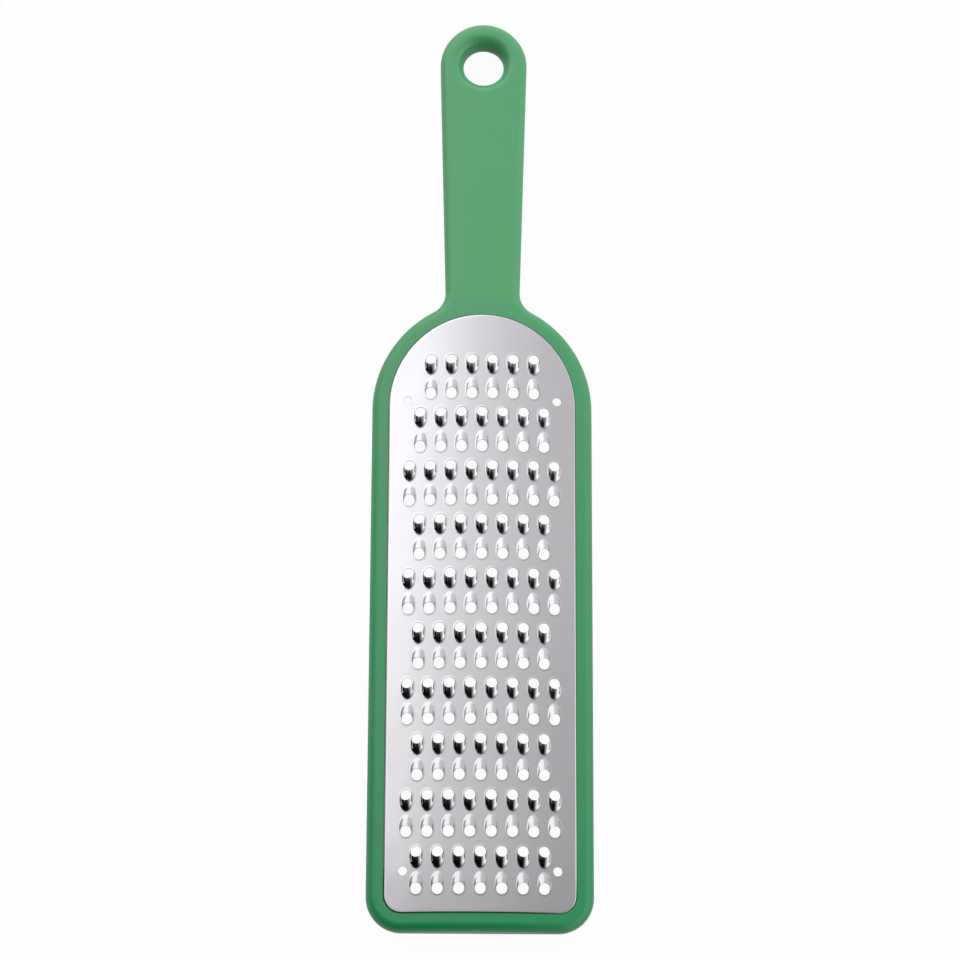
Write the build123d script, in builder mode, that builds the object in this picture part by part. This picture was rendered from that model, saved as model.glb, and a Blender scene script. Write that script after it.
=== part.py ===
from build123d import *
from math import cos, degrees, radians, sin, tan
import os

# A paddle rasp: an arched steel plate with two-way teeth, moulded into a one-piece plastic frame with a handle.
# Millimetres. +X across, +Y towards the handle, +Z up. The teeth face up and the flat underside is at Z = 0.

# Driving dimensions of the plan
overall_length = 294.5
head_length = 200.0
head_width = 69.5
head_corner_radius = 11.0
neck_fillet = 7.0
handle_end_width = 28.0
handle_root_width = 21.6
rim_width = 5.5

# Driving dimensions of the side view
plate_crown_height = 11.0
arch_radius = 130.0
frame_setback = 0.3
top_edge_radius = 3.0
bottom_edge_radius = 2.5
recess_edge_radius = 0.3
window_edge_radius = 0.8

# Hanging hole, flared on both faces
hang_hole_diameter = 13.0
hang_hole_lip = 3.8

# Sheet, its rolled edge, and the ledge of the frame beneath it
sheet_thickness = 0.4
edge_roll_radius = 0.8
edge_depth = 2.5
plate_clearance = 0.05
ledge_width = 1.6

# Teeth stand in pairs of rows, whose cutting edges face away from each other
teeth_in_pairs = (6, 7, 8, 7, 8, 7, 8, 7, 8, 7)
tooth_pitch = 6.5
pair_pitch = 17.3
row_gap = 11.15
first_row_inset = 14.8
tooth_width = 3.9
tooth_slope = 24.0
tooth_hole_diameter = 3.5
mouth_start = 0.8
mouth_run = 1.1
mouth_rise = 1.3

# Plain round holes that hold the sheet in place while the frame is moulded round it
locating_hole_diameter = 2.8
locating_hole_spread = 47.3
upper_locating_inset = 28.1
lower_locating_inset = 12.7

# How far cuts and tools run past the material
overrun = 2.0

# Places worked out from the driving dimensions
tip_y = -overall_length / 2
shoulder_y = tip_y + head_length - head_width / 2
hang_hole_y = overall_length / 2 - handle_end_width / 2
plate_top_y = tip_y + head_length - rim_width
plate_bottom_y = tip_y + rim_width
arch_axis_z = plate_crown_height - arch_radius

# How far each outline is drawn in from the outside of the head
plate_inset = rim_width
recess_inset = rim_width - plate_clearance
ledge_inset = rim_width + sheet_thickness + plate_clearance
window_inset = ledge_inset + ledge_width


def arch_cylinder(radius, mode):
    """The round body, along the length, that the plate and the frame are arched over."""
    with Locations((0, 0, arch_axis_z)):
        Cylinder(radius, overall_length + overrun, rotation=(90, 0, 0), mode=mode)


def drawn_in(inset):
    """The plan of the head, drawn in from its outside."""
    with BuildSketch() as plan:
        add(head_plan.sketch)
        offset(amount=-inset, mode=Mode.REPLACE)
    return plan.sketch


def on_plate(across, along, turned=False):
    """A place on the plate's outer face, with the distance across measured round the arch."""
    lean = degrees(across / arch_radius)
    turn = 180 if turned else 0
    axis = Location((0, along, arch_axis_z))
    return axis * Rotation(0, lean, 0) * Location((0, 0, arch_radius)) * Rotation(0, 0, turn)


# Plan of the head: straight sides, a half-round shoulder and two rounded corners at the tip
with BuildSketch() as head_plan:
    with Locations((0, shoulder_y)):
        Circle(head_width / 2)
    with Locations((0, (tip_y + shoulder_y) / 2)):
        Rectangle(head_width, shoulder_y - tip_y)
    fillet(head_plan.vertices().group_by(Axis.Y)[0], head_corner_radius)

# Plan of the handle: it widens evenly from the shoulder to its round end
with BuildSketch() as handle_plan:
    with Locations((0, shoulder_y)):
        Circle(handle_root_width / 2)
    with Locations((0, hang_hole_y)):
        Circle(handle_end_width / 2)
    make_hull()

# Plan of the whole frame, with the hollow curves where the neck meets the shoulder
with BuildSketch() as frame_plan:
    add(head_plan.sketch)
    add(handle_plan.sketch)
    shoulder_top_y = shoulder_y + head_width / 2
    neck_corners = frame_plan.vertices().filter_by_position(Axis.Y, shoulder_y + neck_fillet, shoulder_top_y)
    fillet(neck_corners, neck_fillet)

# Room for the plate: the recess that its edge sits in, open upwards
with BuildPart() as plate_recess:
    extrude(drawn_in(recess_inset), amount=plate_crown_height + overrun)
    arch_cylinder(arch_radius - edge_depth - plate_clearance, Mode.SUBTRACT)

# The ledge that carries the sheet inside its turned-down edge
with BuildPart() as support_ledge:
    extrude(drawn_in(ledge_inset), amount=plate_crown_height)
    arch_cylinder(arch_radius - sheet_thickness - plate_clearance, Mode.INTERSECT)
    ledge_top = support_ledge.faces().filter_by(GeomType.CYLINDER).sort_by(SortBy.AREA)[-1]
    fillet(ledge_top.edges(), edge_roll_radius - sheet_thickness)
    extrude(drawn_in(window_inset), amount=plate_crown_height, mode=Mode.SUBTRACT)

# Frame and handle, one moulding
with BuildPart() as handle_frame:
    extrude(frame_plan.sketch, amount=plate_crown_height)
    arch_cylinder(arch_radius - frame_setback, Mode.INTERSECT)
    top_face = handle_frame.faces().filter_by(GeomType.CYLINDER).sort_by(SortBy.AREA)[-1]
    fillet(top_face.edges(), top_edge_radius)
    bottom_face = handle_frame.faces().sort_by(Axis.Z)[0]
    fillet(bottom_face.edges(), bottom_edge_radius)

    # Hanging hole with its flared lips
    with Locations((0, hang_hole_y, plate_crown_height)):
        Hole(hang_hole_diameter / 2)
    hang_hole_rims = handle_frame.edges(Select.LAST).filter_by(GeomType.LINE, reverse=True)
    fillet(hang_hole_rims, hang_hole_lip)

    # Open window, recess for the plate's edge, and the ledge beneath the sheet
    extrude(drawn_in(ledge_inset), amount=plate_crown_height, mode=Mode.SUBTRACT)
    add(plate_recess.part, mode=Mode.SUBTRACT)
    top_face = handle_frame.faces().filter_by(GeomType.CYLINDER).sort_by(SortBy.AREA)[-1]
    recess_rim = top_face.inner_wires().sort_by(Axis.Y)[0]
    fillet(recess_rim.edges(), recess_edge_radius)
    add(support_ledge.part)
    bottom_face = handle_frame.faces().sort_by(Axis.Z)[0]
    window_rim = bottom_face.inner_wires().sort_by(Axis.Y)[0]
    fillet(window_rim.edges(), window_edge_radius)

handle_frame.part.label = "handle_frame"

# One raised tooth: a round ridge that falls back into the sheet, open at its high front end
slope = radians(tooth_slope)
tooth_radius = tooth_width / 2
tooth_reach = tooth_radius / tan(slope) + overrun
tooth_plane = Plane(origin=(0, 0, 0), x_dir=(1, 0, 0), z_dir=(0, -cos(slope), -sin(slope)))
mouth_plane = Plane(origin=(0, -mouth_start, 0), x_dir=(1, 0, 0), z_dir=(0, -mouth_rise, -mouth_run))

with BuildPart() as tooth_ridge:
    with BuildSketch(tooth_plane):
        Circle(tooth_radius)
    extrude(amount=tooth_reach)
    split(bisect_by=Plane.XY.offset(-sheet_thickness / 2), keep=Keep.TOP)
    split(bisect_by=mouth_plane, keep=Keep.TOP)

# What is open in a tooth: the round hole through the sheet and the hollow under the ridge
with BuildPart() as tooth_hollow:
    with BuildSketch(tooth_plane):
        Circle(tooth_radius - sheet_thickness)
    extrude(amount=tooth_reach)
    Cylinder(tooth_hole_diameter / 2, 2 * (mouth_rise + overrun))

# Where the teeth stand: the lower row of each pair is turned round
tooth_places = []
for pair, count in enumerate(teeth_in_pairs):
    upper_row_y = plate_top_y - first_row_inset - pair * pair_pitch
    for column in range(count):
        across = (column - (count - 1) / 2) * tooth_pitch
        tooth_places.append(on_plate(across, upper_row_y))
        tooth_places.append(on_plate(across, upper_row_y - row_gap, turned=True))

# Where the plain holes are
locating_places = []
for side in (-1, 1):
    across = side * locating_hole_spread / 2
    locating_places.append(on_plate(across, plate_top_y - upper_locating_inset))
    locating_places.append(on_plate(across, plate_bottom_y + lower_locating_inset))

# The hollow beneath the sheet, inside its turned-down edge
with BuildPart() as plate_hollow:
    extrude(drawn_in(plate_inset + sheet_thickness), amount=plate_crown_height)
    arch_cylinder(arch_radius - sheet_thickness, Mode.INTERSECT)
    hollow_top = plate_hollow.faces().filter_by(GeomType.CYLINDER).sort_by(SortBy.AREA)[-1]
    fillet(hollow_top.edges(), edge_roll_radius - sheet_thickness)

# Grater plate: the arched sheet with its rolled edge, teeth and plain holes
with BuildPart() as grater_plate:
    extrude(drawn_in(plate_inset), amount=plate_crown_height)
    arch_cylinder(arch_radius, Mode.INTERSECT)
    plate_top = grater_plate.faces().filter_by(GeomType.CYLINDER).sort_by(SortBy.AREA)[-1]
    fillet(plate_top.edges(), edge_roll_radius)
    add(plate_hollow.part, mode=Mode.SUBTRACT)
    arch_cylinder(arch_radius - edge_depth, Mode.SUBTRACT)
    with Locations(*tooth_places):
        add(tooth_ridge.part)
        add(tooth_hollow.part, mode=Mode.SUBTRACT)
    with Locations(*locating_places):
        Hole(locating_hole_diameter / 2)

grater_plate.part.label = "grater_plate"

os.makedirs("parts", exist_ok=True)
for piece in (handle_frame, grater_plate):
    export_step(piece.part, f"parts/{piece.part.label}.step", write_pcurves=False)
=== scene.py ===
from math import acos, asin, atan2, cos, degrees, pi, radians, sin, sqrt

import bmesh
import bpy
from mathutils import Matrix, Vector


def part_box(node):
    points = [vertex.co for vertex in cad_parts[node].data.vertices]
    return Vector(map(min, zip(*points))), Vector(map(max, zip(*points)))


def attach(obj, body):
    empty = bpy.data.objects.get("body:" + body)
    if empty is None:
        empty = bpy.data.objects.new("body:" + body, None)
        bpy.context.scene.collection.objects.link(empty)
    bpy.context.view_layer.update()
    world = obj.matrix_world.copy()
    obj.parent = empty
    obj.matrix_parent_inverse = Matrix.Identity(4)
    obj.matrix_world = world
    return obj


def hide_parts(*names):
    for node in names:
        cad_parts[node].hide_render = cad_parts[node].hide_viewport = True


# Paddle rasp: an arched steel plate with two-way teeth in a green plastic frame.
# Pieces are drawn flat in millimetres, bent over the arch, then scaled to metres.
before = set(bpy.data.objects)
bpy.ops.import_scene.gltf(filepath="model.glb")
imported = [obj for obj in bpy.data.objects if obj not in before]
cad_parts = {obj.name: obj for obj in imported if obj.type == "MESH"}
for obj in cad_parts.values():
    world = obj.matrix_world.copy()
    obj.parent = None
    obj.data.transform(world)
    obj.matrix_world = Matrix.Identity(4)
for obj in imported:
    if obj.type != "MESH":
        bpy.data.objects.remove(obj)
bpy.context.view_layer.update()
mm = 0.001
up = Vector((0, 0, 1))
# points closer together than this are one point
samePoint = 0.001


def inMillimetres(corner):
    return Vector(corner) / mm


frameLow, frameHigh = [inMillimetres(corner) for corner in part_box("handle_frame")]
plateLow, plateHigh = [inMillimetres(corner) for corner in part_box("grater_plate")]

# the rim is drawn a little narrower than in the solids, as the photograph shows it
rimTrim = 0.25

# the head's plan: half-round shoulder, straight sides, round corners at the tip
head = {
    "halfWidth": frameHigh.x,
    "tipY": frameLow.y,
    "shoulderY": plateHigh.y - plateHigh.x,
    "cornerRadius": 11.0,
    "rimWidth": frameHigh.x - plateHigh.x - rimTrim,
    "archRadius": 130.0,
    "plateCrown": 11.0,
    "setback": 0.3,
    "sheet": 0.4,
    "edgeRoll": 0.75,
    "edgeDepth": 2.5,
    "tipDip": 0.6,
    "tipDipRun": 24.0,
}

shoulderCentre = Vector((0, head["shoulderY"], 0))
cornerCentre = Vector((head["halfWidth"] - head["cornerRadius"], head["tipY"] + head["cornerRadius"], 0))
sideLength = shoulderCentre.y - cornerCentre.y
quarterTurn = radians(90)


def archDrop(x):
    # how far the arch has fallen at a distance from the middle
    return head["archRadius"] - sqrt(head["archRadius"] ** 2 - x ** 2)


def tipSag(y):
    # how far the sheet has sagged near the tip
    nearTip = max(0, 1 - (y - plateLow.y) / head["tipDipRun"])
    return head["tipDip"] * nearTip ** 2


def insetOf(place):
    # how far a place near the tip is drawn in from the head's outline
    past = Vector((max(0, abs(place.x) - cornerCentre.x), max(0, cornerCentre.y - place.y)))
    return head["cornerRadius"] - past.length


# drawing by moving a chain of edges: each run leaves a band of faces behind it

def chainFrom(bm, points):
    verts = [bm.verts.new(point) for point in points]
    return [bm.edges.new(pair) for pair in zip(verts, verts[1:])]


def vertsOf(edges):
    return list({vert for edge in edges for vert in edge.verts})


def runStraight(bm, edges, travel, steps):
    for _ in range(steps):
        made = bmesh.ops.extrude_edge_only(bm, edges=edges)["geom"]
        edges = [part for part in made if isinstance(part, bmesh.types.BMEdge)]
        bmesh.ops.translate(bm, verts=vertsOf(edges), vec=travel / steps)
    return edges


def runRound(bm, edges, centre, clockwise, steps):
    made = bmesh.ops.spin(bm, geom=vertsOf(edges) + edges, cent=centre, axis=up,
                          angle=-clockwise, steps=steps, use_duplicate=False)["geom_last"]
    return [part for part in made if isinstance(part, bmesh.types.BMEdge)]


def mirrorAcross(bm):
    everything = list(bm.verts) + list(bm.edges) + list(bm.faces)
    bmesh.ops.mirror(bm, geom=everything, axis="X", merge_dist=samePoint)
    bmesh.ops.remove_doubles(bm, verts=bm.verts, dist=samePoint)


def roundStretch(centre, radius, start, end, steps):
    # an arc of (inset, height) points; angles are counted from straight up towards the outside
    points = []
    for step in range(steps + 1):
        angle = radians(start + (end - start) * step / steps)
        points.append((centre[0] - radius * sin(angle), centre[1] + radius * cos(angle)))
    return points


def addPiece(name, bm, node, material):
    bmesh.ops.scale(bm, verts=bm.verts, vec=Vector((mm, mm, mm)))
    mesh = bpy.data.meshes.new(name)
    bm.to_mesh(mesh)
    bm.free()
    piece = bpy.data.objects.new(name, mesh)
    bpy.context.scene.collection.objects.link(piece)
    mesh.materials.append(material)
    for face in mesh.polygons:
        face.use_smooth = True
    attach(piece, "root")
    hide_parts(node)
    return piece


# materials

class Wire:
    # an output socket that can be added, multiplied and so on
    def __init__(self, finish, socket):
        self.finish = finish
        self.socket = socket

    def maths(self, operation, first, second):
        return self.finish.node("ShaderNodeMath", {"operation": operation}, {0: first, 1: second})

    def __add__(self, other):
        return self.maths("ADD", self, other)

    def __radd__(self, other):
        return self.maths("ADD", other, self)

    def __sub__(self, other):
        return self.maths("SUBTRACT", self, other)

    def __rsub__(self, other):
        return self.maths("SUBTRACT", other, self)

    def __mul__(self, other):
        return self.maths("MULTIPLY", self, other)

    def __rmul__(self, other):
        return self.maths("MULTIPLY", other, self)

    def atLeast(self, lowest):
        return self.maths("MAXIMUM", self, lowest)

    def atMost(self, highest):
        return self.maths("MINIMUM", self, highest)


class Finish:
    # a material or a world, its shader, and one way to add nodes to it
    def __init__(self, owner, shader, place):
        self.owner = owner
        self.owner.use_nodes = True
        self.tree = owner.node_tree
        self.shader = self.tree.nodes[shader]
        self.place = self.node("ShaderNodeTexCoord", {}, {}, place)

    def node(self, kind, settings, sockets, output=0):
        made = self.tree.nodes.new(kind)
        for key, value in settings.items():
            setattr(made, key, value)
        for key, value in sockets.items():
            self.feed(made.inputs[key], value)
        return Wire(self, made.outputs[output])

    def feed(self, socket, value):
        if isinstance(value, Wire):
            self.tree.links.new(value.socket, socket)
        else:
            socket.default_value = value

    def set(self, **values):
        for key, value in values.items():
            self.feed(self.shader.inputs[key.replace("_", " ")], value)


def steelFinish():
    look = {
        "brightTone": (0.575, 0.559, 0.584, 1),
        # the tip's painted shade
        "paintedTipShadeTone": (0.472, 0.458, 0.478, 1),
        "tipY": -0.14,
        "evenFromY": -0.03,
        "toneSpread": 0.14,
        "patchScale": 45.0,
        "roughness": 0.12,
        "roughnessSpread": 0.04,
        "grainAcross": 2600.0,
        "grainAlong": 160.0,
        "grainDepth": 0.0000025,
    }
    finish = Finish(bpy.data.materials.new("brushed steel"), "Principled BSDF", "Object")
    stretched = finish.node("ShaderNodeMapping", {}, {
        "Vector": finish.place, "Scale": (look["grainAcross"], look["grainAlong"], look["grainAcross"])})
    grain = finish.node("ShaderNodeTexNoise", {}, {"Vector": stretched, "Scale": 1.0, "Detail": 2.0})
    patches = finish.node("ShaderNodeTexNoise", {}, {
        "Vector": finish.place, "Scale": look["patchScale"], "Detail": 2.0})
    # painted shade: the sheet is painted a little darker towards the tip, with random patches mixed in
    axes = finish.node("ShaderNodeSeparateXYZ", {}, {0: finish.place}, 1)
    along = (axes - look["tipY"]) * (1 / (look["evenFromY"] - look["tipY"]))
    tipShadeAndPatches = along.atLeast(0).atMost(1) * (1 - look["toneSpread"]) + look["toneSpread"] * patches
    tone = finish.node("ShaderNodeMix", {"data_type": "RGBA"}, {
        0: tipShadeAndPatches, 6: look["paintedTipShadeTone"], 7: look["brightTone"]}, 2)
    finish.set(Base_Color=tone, Metallic=1.0,
               Roughness=look["roughness"] + look["roughnessSpread"] * (grain - 0.5))
    relief = finish.node("ShaderNodeBump", {}, {
        "Height": grain, "Distance": look["grainDepth"], "Strength": 0.5})
    finish.set(Normal=relief)
    return finish.owner


def cutEdgeShadeFinish():
    # the punched edges of the holes are rougher than the sheet, and painted darker in patches as painted
    # shade for the shaded line round each hole
    look = {
        "tone": (0.2, 0.195, 0.2, 1),
        "lighterShadeTone": (0.28, 0.275, 0.28, 1),
        "shadePatchScale": 900.0,
        "roughness": 0.38,
    }
    finish = Finish(bpy.data.materials.new("punched edge painted shade"), "Principled BSDF", "Object")
    shadePatches = finish.node("ShaderNodeTexNoise", {}, {
        "Vector": finish.place, "Scale": look["shadePatchScale"], "Detail": 1.0})
    tone = finish.node("ShaderNodeMix", {"data_type": "RGBA"}, {
        0: shadePatches, 6: look["tone"], 7: look["lighterShadeTone"]}, 2)
    finish.set(Base_Color=tone, Metallic=1.0, Roughness=look["roughness"])
    return finish.owner


def plasticFinish():
    look = {
        # painted light: paler at the handle, deeper at the tip
        "handleLitTone": (0.096, 0.402, 0.171, 1),
        "tipShadedTone": (0.0135, 0.271, 0.091, 1),
        "tipY": -0.143,
        "shoulderY": 0.041,
        "neckY": 0.058,
        "shoulderShare": 0.66,
        "toneSpread": 0.1,
        "flowScale": 25.0,
        "roughness": 0.31,
        "roughnessSpread": 0.06,
        "grainScale": 3200.0,
        "grainDepth": 0.000012,
    }
    finish = Finish(bpy.data.materials.new("green plastic"), "Principled BSDF", "Object")
    grain = finish.node("ShaderNodeTexNoise", {}, {
        "Vector": finish.place, "Scale": look["grainScale"], "Detail": 2.0})
    flow = finish.node("ShaderNodeTexNoise", {}, {
        "Vector": finish.place, "Scale": look["flowScale"], "Detail": 2.0})
    # painted light: the green is painted a little paler along the head, and again at the neck, for the
    # light and sheen that fall off towards the tip; flow noise adds random tone
    axes = finish.node("ShaderNodeSeparateXYZ", {}, {0: finish.place}, 1)
    alongHead = (axes - look["tipY"]) * (1 / (look["shoulderY"] - look["tipY"]))
    alongNeck = (axes - look["shoulderY"]) * (1 / (look["neckY"] - look["shoulderY"]))
    paintedLightAndFlow = alongHead.atLeast(0).atMost(1) * look["shoulderShare"]
    paintedLightAndFlow = paintedLightAndFlow + alongNeck.atLeast(0).atMost(1) * (1 - look["shoulderShare"])
    paintedLightAndFlow = paintedLightAndFlow + look["toneSpread"] * (flow - 0.5)
    tone = finish.node("ShaderNodeMix", {"data_type": "RGBA"}, {
        0: paintedLightAndFlow, 6: look["tipShadedTone"], 7: look["handleLitTone"]}, 2)
    finish.set(Base_Color=tone, IOR=1.45, Specular_IOR_Level=0.55,
               Roughness=look["roughness"] + look["roughnessSpread"] * (grain - 0.5))
    relief = finish.node("ShaderNodeBump", {}, {
        "Height": grain, "Distance": look["grainDepth"], "Strength": 0.6})
    finish.set(Normal=relief)
    return finish.owner


# frame: the rim's section is swept round the head, and the handle grows out of the shoulder

handle = {
    "endRadius": 14.0,
    "rootRadius": 10.8,
    "neckFillet": 7.0,
    "holeRadius": 6.5,
    "holeLip": 3.8,
    "topEdge": 3.0,
    "bottomEdge": 2.5,
    # the edge of the recess is broken at the top: how wide, and how many degrees of the lip it takes
    "recessEdge": 0.05,
    "recessEdgeTurn": 4.0,
    "windowEdge": 0.8,
    "clearance": 0.05,
    "ledge": 1.6,
    "ledgeEdge": 0.4,
    "stripWidth": 2.0,
    "stripCuts": 11,
    "sharpFrom": 40.0,
    # how many bands of faces each stretch is drawn in
    "bands": {"shoulder": 16, "side": 24, "corner": 14, "tip": 12, "under neck": 8,
              "end": 28, "taper": 12, "neck": 12, "hole": 32},
}


def frameSection():
    # (inset, height) points of the rim, in two chains: the outside, and the inside with recess and ledge
    top = head["plateCrown"] - head["setback"]
    topEdge = handle["topEdge"]
    bottomEdge = handle["bottomEdge"]
    outside = roundStretch((topEdge, top - topEdge), topEdge, 0, 90, 8)
    outside += roundStretch((bottomEdge, bottomEdge), bottomEdge, 90, 180, 6)

    recessWall = head["rimWidth"] - handle["clearance"]
    ledgeWall = head["rimWidth"] + head["sheet"] + handle["clearance"]
    window = ledgeWall + handle["ledge"]
    floor = head["plateCrown"] - head["edgeDepth"] - handle["clearance"]
    ledgeTop = head["plateCrown"] - head["sheet"] - handle["clearance"]
    small = handle["windowEdge"]
    inside = [(window - small + small * sin(radians(turn)), small - small * cos(radians(turn)))
              for turn in (0, 30, 60, 90)]
    inside += [(window, ledgeTop), (ledgeWall + handle["ledgeEdge"], ledgeTop),
               (ledgeWall, ledgeTop - handle["ledgeEdge"]), (ledgeWall, floor), (recessWall, floor)]
    # the plastic follows the sheet's rolled edge closely up to its own top
    roll = head["edgeRoll"]
    snug = roll + handle["clearance"]
    lipTurn = degrees(acos((roll - head["setback"]) / snug))
    lip = roundStretch((head["rimWidth"] + roll, head["plateCrown"] - roll), snug,
                       90, lipTurn + handle["recessEdgeTurn"], 4)
    inside += lip + [(lip[-1][0] - handle["recessEdge"], top)]
    return outside, inside


def stationPoints(section, centre, radius, angle):
    # the section stood up on a line from a centre; the angle turns clockwise from +Y
    outward = Vector((sin(angle), cos(angle), 0))
    return [centre + outward * (radius - inset) + up * height for inset, height in section]


def buildFrame(material):
    outside, inside = frameSection()
    bands = handle["bands"]
    holeCentre = Vector((0, frameHigh.y - handle["endRadius"], 0))
    reach = holeCentre.y - shoulderCentre.y
    taper = asin((handle["endRadius"] - handle["rootRadius"]) / reach)
    filletReach = head["halfWidth"] + handle["neckFillet"]
    neckAngle = taper + asin((handle["rootRadius"] + handle["neckFillet"]) / filletReach)
    neckCentre = shoulderCentre + filletReach * Vector((sin(neckAngle), cos(neckAngle), 0))
    handleRun = reach * cos(taper) - filletReach * cos(neckAngle - taper)
    bm = bmesh.new()

    # whole rim of one side, from the neck round the shoulder, down the side and along the tip
    ring = outside + inside
    edges = chainFrom(bm, stationPoints(ring, shoulderCentre, head["halfWidth"], neckAngle))
    firstVerts = [edges[0].verts[0], edges[-1].verts[1]]
    edges.append(bm.edges.new(firstVerts))
    edges = runRound(bm, edges, shoulderCentre, quarterTurn - neckAngle, bands["shoulder"])
    edges = runStraight(bm, edges, Vector((0, -sideLength, 0)), bands["side"])
    edges = runRound(bm, edges, cornerCentre, quarterTurn, bands["corner"])
    runStraight(bm, edges, Vector((-cornerCentre.x, 0, 0)), bands["tip"])

    # the rim's inside carries on under the neck
    edges = chainFrom(bm, stationPoints(inside, shoulderCentre, head["halfWidth"], neckAngle))
    runRound(bm, edges, shoulderCentre, -neckAngle, bands["under neck"])

    # outside of the handle: round end, tapered side, hollow curve at the neck
    edges = chainFrom(bm, stationPoints(outside, holeCentre, handle["endRadius"], 0))
    edges = runRound(bm, edges, holeCentre, quarterTurn + taper, bands["end"])
    edges = runStraight(bm, edges, handleRun * Vector((-sin(taper), -cos(taper), 0)), bands["taper"])
    runRound(bm, edges, neckCentre, neckAngle - taper - quarterTurn, bands["neck"])

    # wall of the hanging hole, flared both ways
    top = head["plateCrown"] - head["setback"]
    lip = handle["holeLip"]
    flare = [(inset, (1 + height / lip) * top / 2)
             for inset, height in roundStretch((-lip, 0), lip, 0, -180, 16)]
    edges = chainFrom(bm, stationPoints(flare, holeCentre, handle["holeRadius"], 0))
    runRound(bm, edges, holeCentre, 2 * quarterTurn, bands["hole"])
    bmesh.ops.remove_doubles(bm, verts=bm.verts, dist=samePoint)

    # flat faces of neck and handle, top and bottom, then cut into strips so that they can arch
    for height in (top, 0):
        level = [edge for edge in bm.edges if len(edge.link_faces) == 1
                 and all(abs(vert.co.z - height) < samePoint for vert in edge.verts)
                 and any(vert.co.x > samePoint for vert in edge.verts)]
        middle = sorted((vert for vert in vertsOf(level) if abs(vert.co.x) < samePoint),
                        key=lambda vert: vert.co.y)
        closing = [bm.edges.new(pair) for pair in (middle[0:2], middle[2:4])]
        bmesh.ops.contextual_create(bm, geom=level + closing)
    print("outline of neck and handle closed")
    for strip in range(1, handle["stripCuts"] + 1):
        flats = [face for face in bm.faces if len(face.verts) > 4]
        edgesOfFlats = list({edge for face in flats for edge in face.edges})
        bmesh.ops.bisect_plane(bm, geom=flats + edgesOfFlats + vertsOf(edgesOfFlats), dist=0.0001,
                               plane_co=Vector((strip * handle["stripWidth"], 0, 0)),
                               plane_no=Vector((1, 0, 0)))
    mirrorAcross(bm)
    bmesh.ops.recalc_face_normals(bm, faces=bm.faces)

    # the upper half follows the arch, and the ledge follows the sheet near the tip
    halfHeight = top / 2
    for vert in bm.verts:
        if vert.co.z > halfHeight:
            vert.co.z -= archDrop(vert.co.x)
            if insetOf(vert.co) > head["rimWidth"] + head["sheet"]:
                vert.co.z -= tipSag(vert.co.y)
    openEdges = [edge for edge in bm.edges if len(edge.link_faces) != 2]
    print("handle_frame faces", len(bm.faces), "open edges", len(openEdges))
    piece = addPiece("green_frame", bm, "handle_frame", material)
    piece.data.set_sharp_from_angle(angle=radians(handle["sharpFrom"]))
    evenNormals = piece.modifiers.new("even normals", "WEIGHTED_NORMAL")
    evenNormals.keep_sharp = True


# plate: one tooth on its own tile, repeated in pairs of rows, then a margin and a rolled edge round them

plate = {
    "teethInPairs": (6, 7, 8, 7, 8, 7, 8, 7, 8, 7),
    "toothPitch": 6.5,
    "pairPitch": 17.3,
    "rowGap": 11.15,
    "firstRowInset": 14.8,
    # a tooth's lip and foot on nine lines, from the back of its ridge round to its open front
    "holeRadius": 1.72,
    "lipTurn": (0, 20, 40, 58, 76, 100, 127, 153, 180),
    "footX": (0, 0.97, 1.64, 1.84, 1.86, 1.85, 1.5, 0.85, 0),
    "footY": (-4.88, -4.48, -3.3, -1.8, -0.6, 0.36, 1.13, 1.67, 1.88),
    "footSpread": 0.3,
    "flatRoom": 0.25,
    "ringsOut": (0, 0.33, 0.67, 0.93),
    "ridgeHalfWidth": 1.84,
    "ridgeHeight": 1.443,
    "ridgePeak": 0.133,
    "ridgeEnd": 4.92,
    "rimHeight": 0.06,
    "steepSides": 2.2,
    "roundSides": 3.6,
    "mouthStart": -0.1,
    "mouthSteepness": 2.0,
    "locatingRadius": 1.4,
    "locatingAcross": 23.65,
    "locatingUpper": 28.1,
    "locatingLower": 12.7,
    "locatingRoom": 1.95,
    "margin": 0.5,
    "cutEdge": 0.12,
    "sharpFrom": 50.0,
    # how many bands of faces each stretch of the rolled edge is drawn in
    "bands": {"shoulder": 24, "side": 60, "corner": 10, "tip": 14},
}


def toothHeight(x, y):
    # a ridge that is highest over its hole and falls to a round end; its sides are steep beside the hole
    # and rounder further back, and its front is cut off at the mouth
    behind = -y
    halfWidth = plate["ridgeHalfWidth"]
    pastHole = max(0, behind - halfWidth) / (plate["ridgeEnd"] - halfWidth)
    halfWidth *= sqrt(max(0.0001, 1 - pastHole ** 2))
    pastPeak = (behind - plate["ridgePeak"]) / (plate["ridgeEnd"] - plate["ridgePeak"])
    crest = plate["ridgeHeight"] * max(0, 1 - pastPeak ** 2)
    pastSteep = (behind - plate["steepSides"]) / (plate["roundSides"] - plate["steepSides"])
    roundness = 0.5 + 0.5 * min(1, max(0, pastSteep))
    arched = crest * max(0, 1 - (x / halfWidth) ** 2) ** roundness
    mouth = plate["mouthSteepness"] * (behind - plate["mouthStart"])
    return max(0, min(arched, mouth))


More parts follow.
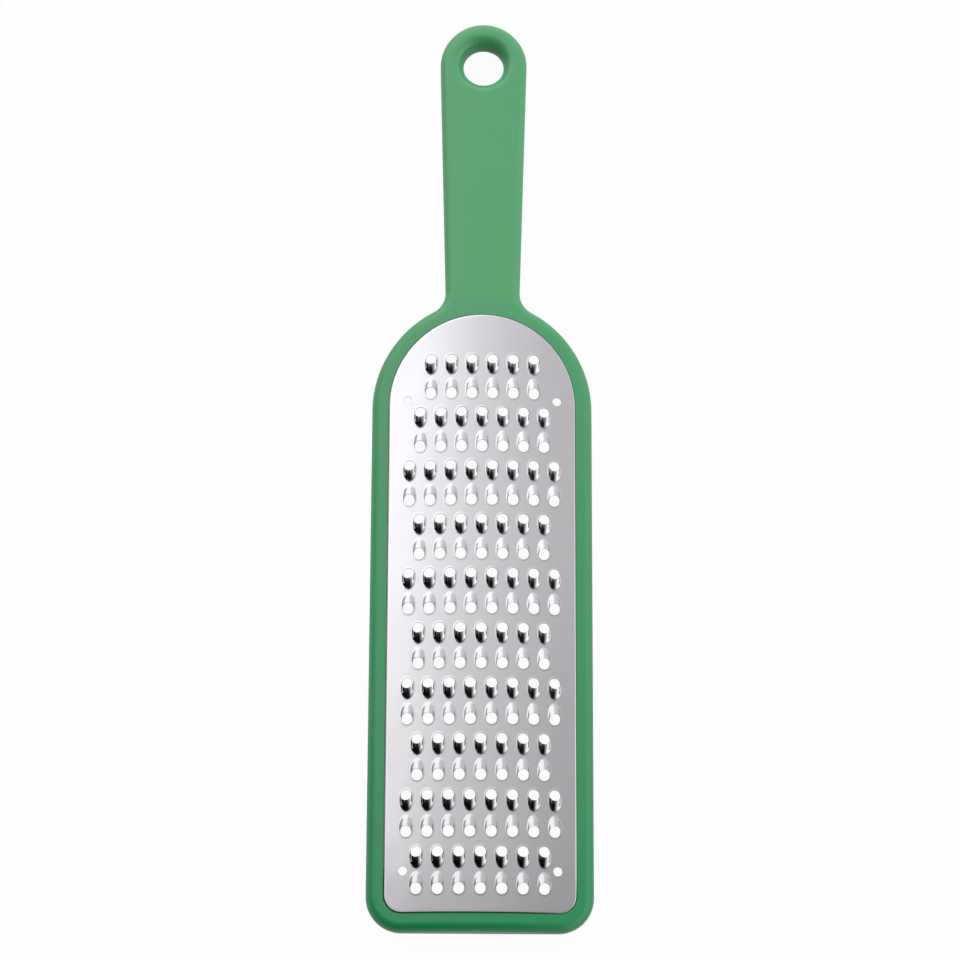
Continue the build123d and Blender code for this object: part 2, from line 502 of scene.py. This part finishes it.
def drawTooth(bm):
    # the edges round the hole are drawn out ring by ring: the ridge, its foot, then the edge of the tile
    aroundHole = 2 * (len(plate["lipTurn"]) - 1)
    halfWidth = plate["toothPitch"] / 2
    rear = plate["rowGap"] / 2
    front = (plate["pairPitch"] - plate["rowGap"]) / 2
    step = (rear + front) / 4
    tileEdge = [(0, -rear), (halfWidth / 2, -rear), (halfWidth, -rear), (halfWidth, step - rear),
                (halfWidth, 2 * step - rear), (halfWidth, 3 * step - rear), (halfWidth, front),
                (halfWidth / 2, front), (0, front)]
    ring = bmesh.ops.create_circle(bm, segments=aroundHole, radius=1, cap_ends=True)["verts"]
    edges = list({edge for vert in ring for edge in vert.link_edges})
    cap = ring[0].link_faces[0]
    rays = [round(abs(atan2(vert.co.x, -vert.co.y)) / (2 * pi) * aroundHole) for vert in ring]
    sides = [1 if vert.co.x > 0 else -1 for vert in ring]
    rings = [ring]
    onRidge = len(plate["ringsOut"])
    for _ in range(onRidge + 2):
        made = bmesh.ops.extrude_edge_only(bm, edges=edges)["geom"]
        edges = [part for part in made if isinstance(part, bmesh.types.BMEdge)]
        newVerts = {part for part in made if isinstance(part, bmesh.types.BMVert)}
        follow = []
        for vert in rings[-1]:
            follow += [edge.other_vert(vert) for edge in vert.link_edges
                       if edge.other_vert(vert) in newVerts]
        rings.append(follow)
    cap.material_index = 1
    for ringNumber, ring in enumerate(rings):
        for vert, ray, side in zip(ring, rays, sides):
            turn = radians(plate["lipTurn"][ray])
            lip = Vector((sin(turn), -cos(turn), 0)) * plate["holeRadius"]
            foot = Vector((plate["footX"][ray], plate["footY"][ray], 0))
            outside = foot + foot.normalized() * plate["footSpread"]
            corner = Vector((tileEdge[ray][0], tileEdge[ray][1], 0))
            level = outside + foot.normalized() * plate["flatRoom"]
            places = [lip.lerp(foot, share) for share in plate["ringsOut"]] + [outside, level, corner]
            place = places[ringNumber]
            height = 0
            if ringNumber < onRidge:
                # a low rim goes on round the front of the hole
                height = max(plate["rimHeight"], toothHeight(place.x, place.y))
            vert.co = Vector((side * place.x, place.y, height))


def bentOver(place):
    # a flat place taken round the arch; what hangs below the sheet stays upright, and its foot doesn't sag
    turn = place.x / head["archRadius"]
    radius = head["archRadius"] + max(place.z, 0)
    below = min(place.z, 0)
    sag = tipSag(place.y) * (1 + below / head["edgeDepth"])
    height = radius * cos(turn) + head["plateCrown"] - head["archRadius"] + below - sag
    return Vector((radius * sin(turn), place.y, height))


def levelRim(bm):
    # the open edges that lie on the sheet's outer face
    return [edge for edge in bm.edges if edge.is_boundary
            and all(abs(vert.co.z) < samePoint for vert in edge.verts)]


def drawRolledEdge(bm):
    # the edge's closed section is swept round the outline, then laid out flat
    bands = plate["bands"]
    roll = head["edgeRoll"]
    thickness = head["sheet"]
    rim = head["rimWidth"]
    section = [(rim + roll + plate["margin"], 0)]
    section += [(rim + inset, height) for inset, height in roundStretch((roll, -roll), roll, 0, 90, 6)]
    section += [(rim, -head["edgeDepth"]), (rim + thickness, -head["edgeDepth"])]
    section += [(rim + inset, height) for inset, height in
                roundStretch((roll, -roll), roll - thickness, 90, 0, 4)]
    section.append((rim + roll + plate["margin"], -thickness))
    edges = chainFrom(bm, stationPoints(section, shoulderCentre, head["halfWidth"], 0))
    edges = runRound(bm, edges, shoulderCentre, quarterTurn, bands["shoulder"])
    edges = runStraight(bm, edges, Vector((0, -sideLength, 0)), bands["side"])
    edges = runRound(bm, edges, cornerCentre, quarterTurn, bands["corner"])
    runStraight(bm, edges, Vector((-cornerCentre.x, 0, 0)), bands["tip"])
    mirrorAcross(bm)
    for vert in bm.verts:
        vert.co.x = head["archRadius"] * asin(vert.co.x / head["archRadius"])


def buildPlate(material, cutShadeMaterial):
    sharpFrom = radians(plate["sharpFrom"])
    bm = bmesh.new()
    drawRolledEdge(bm)
    edgeFaces = set(bm.faces)
    outline = levelRim(bm)

    # teeth, the lower row of each pair turned round
    drawTooth(bm)
    toothFaces = [face for face in bm.faces if face not in edgeFaces]
    firstRowY = plateHigh.y - plate["firstRowInset"]
    for pair, count in enumerate(plate["teethInPairs"]):
        for column in range(count):
            x = (column - (count - 1) / 2) * plate["toothPitch"]
            y = firstRowY - pair * plate["pairPitch"]
            for turned, rowY in ((0, y), (pi, y - plate["rowGap"])):
                copied = bmesh.ops.duplicate(bm, geom=toothFaces)["geom"]
                verts = [part for part in copied if isinstance(part, bmesh.types.BMVert)]
                bmesh.ops.rotate(bm, verts=verts, cent=Vector(), matrix=Matrix.Rotation(turned, 3, "Z"))
                bmesh.ops.translate(bm, verts=verts, vec=Vector((x, rowY, 0)))
    bmesh.ops.delete(bm, geom=toothFaces, context="FACES")
    bmesh.ops.remove_doubles(bm, verts=bm.verts, dist=samePoint)
    print("teeth", sum(plate["teethInPairs"]) * 2)

    # four plain holes, with the faces near them taken away, then the margin filled in
    holes = []
    for side in (-1, 1):
        for y in (plateHigh.y - plate["locatingUpper"], plateLow.y + plate["locatingLower"]):
            place = Vector((side * plate["locatingAcross"], y, 0))
            near = {face for vert in bm.verts if (vert.co - place).length < plate["locatingRoom"]
                    for face in vert.link_faces if face.material_index == 0}
            bmesh.ops.delete(bm, geom=list(near), context="FACES")
            ring = bmesh.ops.create_circle(bm, segments=20, radius=plate["locatingRadius"],
                                           matrix=Matrix.Translation(place))["verts"]
            holes += list({edge for vert in ring for edge in vert.link_edges})
    field = [edge for edge in levelRim(bm) if edge not in outline]
    bmesh.ops.triangle_fill(bm, edges=outline + field + holes, use_beauty=True, normal=up)
    caps = [face for face in bm.faces if face.material_index == 1]
    bmesh.ops.delete(bm, geom=caps, context="FACES_ONLY")

    # the sheet's underside, with the walls of the holes between
    sheet = [face for face in bm.faces if face not in edgeFaces]
    made = bmesh.ops.extrude_face_region(bm, geom=sheet, use_keep_orig=True)["geom"]
    underside = [part for part in made if isinstance(part, bmesh.types.BMVert)]
    bmesh.ops.translate(bm, verts=underside, vec=Vector((0, 0, -head["sheet"])))
    bmesh.ops.remove_doubles(bm, verts=bm.verts, dist=samePoint)
    outlineWalls = [face for face in bm.faces if any(len(edge.link_faces) > 2 for edge in face.edges)
                    and abs(face.normal.z) < 0.5 and face not in edgeFaces]
    bmesh.ops.delete(bm, geom=outlineWalls, context="FACES")
    bmesh.ops.recalc_face_normals(bm, faces=bm.faces)
    for vert in bm.verts:
        vert.co = bentOver(vert.co)
    for edge in bm.edges:
        edge.smooth = edge.calc_face_angle(0) < sharpFrom
    openEdges = [edge for edge in bm.edges if len(edge.link_faces) != 2]
    print("grater_plate faces", len(bm.faces), "open edges", len(openEdges))
    piece = addPiece("steel_blade", bm, "grater_plate", material)
    piece.data.materials.append(cutShadeMaterial)
    softened = piece.modifiers.new("softened edges", "BEVEL")
    softened.limit_method = "ANGLE"
    softened.angle_limit = sharpFrom
    softened.width = plate["cutEdge"] * mm
    softened.segments = 1
    # the bevelled edges take the punched edge's painted shade
    softened.material = 1
    evenNormals = piece.modifiers.new("even normals", "WEIGHTED_NORMAL")
    evenNormals.keep_sharp = True


# studio: white floor, soft glows, softboxes and flags, and the camera where the photograph was taken from

studio = {
    "floorReach": 4.0,
    "floorTone": 0.6,
    "floorGlow": 1.03,
    "floorWhite": 0.93,
    "floorInReflections": 0.45,
    # way round from the handle's end to the right, height over the floor, tightness and brightness
    "glows": {
        "far left": (-32.0, 29.0, 5.4, 1.43),
        "left window": (-63.3, 22.3, 21.6, 1.02),
        "left above": (-76.7, 49.8, 18.2, 0.72),
        "overhead": (-50.0, 76.0, 7.1, 0.68),
        "far right": (42.9, 16.3, 1.2, 1.01),
        "right": (123.4, 0.0, 4.5, 1.86),
    },
    # way round, height, where its soft edge starts and ends in degrees from its middle, and brightness
    "softboxes": {
        "large round": (-38.0, 41.0, 18.0, 37.0, 0.42),
        "low right": (98.0, 14.0, 8.0, 24.0, 1.0),
    },
    # black flags in the same way, with how much light they hold back
    "flags": {
        "in front of the tip": (196.0, 42.0, 26.0, 36.0, 0.85),
        "low on the left": (256.0, 4.0, 22.0, 36.0, 0.9),
    },
    # no glow is brighter than this, so that the steel keeps its grey from every side
    "brightest": 1.8,
    "cameraPlace": (-9.883, -246.75, 917.21),
    "cameraTurns": (("Y", -0.58615), ("X", 14.81299), ("Z", 0.26004)),
    "lens": 112.5,
    "sensorWidth": 36.0,
}


def addFloor():
    # matt paper that is seen as white, and less white in reflections
    bm = bmesh.new()
    bmesh.ops.create_grid(bm, x_segments=1, y_segments=1, size=studio["floorReach"])
    mesh = bpy.data.meshes.new("floor")
    bm.to_mesh(mesh)
    bm.free()
    floor = bpy.data.objects.new("floor", mesh)
    bpy.context.scene.collection.objects.link(floor)
    finish = Finish(bpy.data.materials.new("floor paper"), "Principled BSDF", "Object")
    tone = studio["floorTone"]
    finish.set(Base_Color=(tone, tone, tone, 1), Roughness=0.9)
    rays = finish.node("ShaderNodeLightPath", {}, {}, "Is Camera Ray")
    glossy = Wire(finish, rays.socket.node.outputs["Is Glossy Ray"])
    through = Wire(finish, rays.socket.node.outputs["Is Transmission Ray"])
    seen = (rays + glossy * studio["floorInReflections"] + through).atMost(1)
    white = finish.node("ShaderNodeEmission", {}, {"Color": (1, 1, 1, 1), "Strength": studio["floorGlow"]})
    paper = Wire(finish, finish.shader.outputs[0])
    mixed = finish.node("ShaderNodeMixShader", {}, {0: seen * studio["floorWhite"], 1: paper, 2: white})
    finish.feed(finish.tree.nodes["Material Output"].inputs["Surface"], mixed)
    mesh.materials.append(finish.owner)


def addWorld():
    # soft glows and softboxes in a dark room, with black flags in front of them
    room = Finish(bpy.data.worlds.new("studio"), "Background", "Generated")
    bpy.context.scene.world = room.owner

    def facing(wayRound, height):
        flat = cos(radians(height))
        heart = (sin(radians(wayRound)) * flat, cos(radians(wayRound)) * flat, sin(radians(height)))
        return room.node("ShaderNodeVectorMath", {"operation": "DOT_PRODUCT"},
                         {0: room.place, 1: heart}, "Value")

    def softDisc(wayRound, height, edgeStart, edgeEnd, strength):
        core = cos(radians(edgeStart))
        rim = cos(radians(edgeEnd))
        inside = (facing(wayRound, height) - rim) * (1 / (core - rim))
        return inside.atLeast(0).atMost(1) * strength

    level = 0
    for softbox in studio["softboxes"].values():
        level = softDisc(*softbox) + level
    for wayRound, height, tightness, brightness in studio["glows"].values():
        towards = facing(wayRound, height).atLeast(0)
        glow = room.node("ShaderNodeMath", {"operation": "POWER"}, {0: towards, 1: tightness})
        level = level + glow * brightness
    level = level.atMost(studio["brightest"])
    for flag in studio["flags"].values():
        level = level * (1 - softDisc(*flag))
    room.set(Color=(1, 1, 1, 1), Strength=level)


def addCamera():
    camera = bpy.data.cameras.new("camera")
    camera.lens = studio["lens"]
    camera.sensor_width = studio["sensorWidth"]
    camera.clip_start = 0.01
    holder = bpy.data.objects.new("camera", camera)
    bpy.context.scene.collection.objects.link(holder)
    turned = Matrix.Translation(Vector(studio["cameraPlace"]) * mm)
    for axis, angle in studio["cameraTurns"]:
        turned = turned @ Matrix.Rotation(radians(angle), 4, axis)
    holder.matrix_world = turned
    bpy.context.scene.camera = holder


addCamera()
addFloor()
addWorld()
print("studio ready")
buildFrame(plasticFinish())
buildPlate(steelFinish(), cutEdgeShadeFinish())
bpy.context.scene.view_settings.view_transform = "Standard"
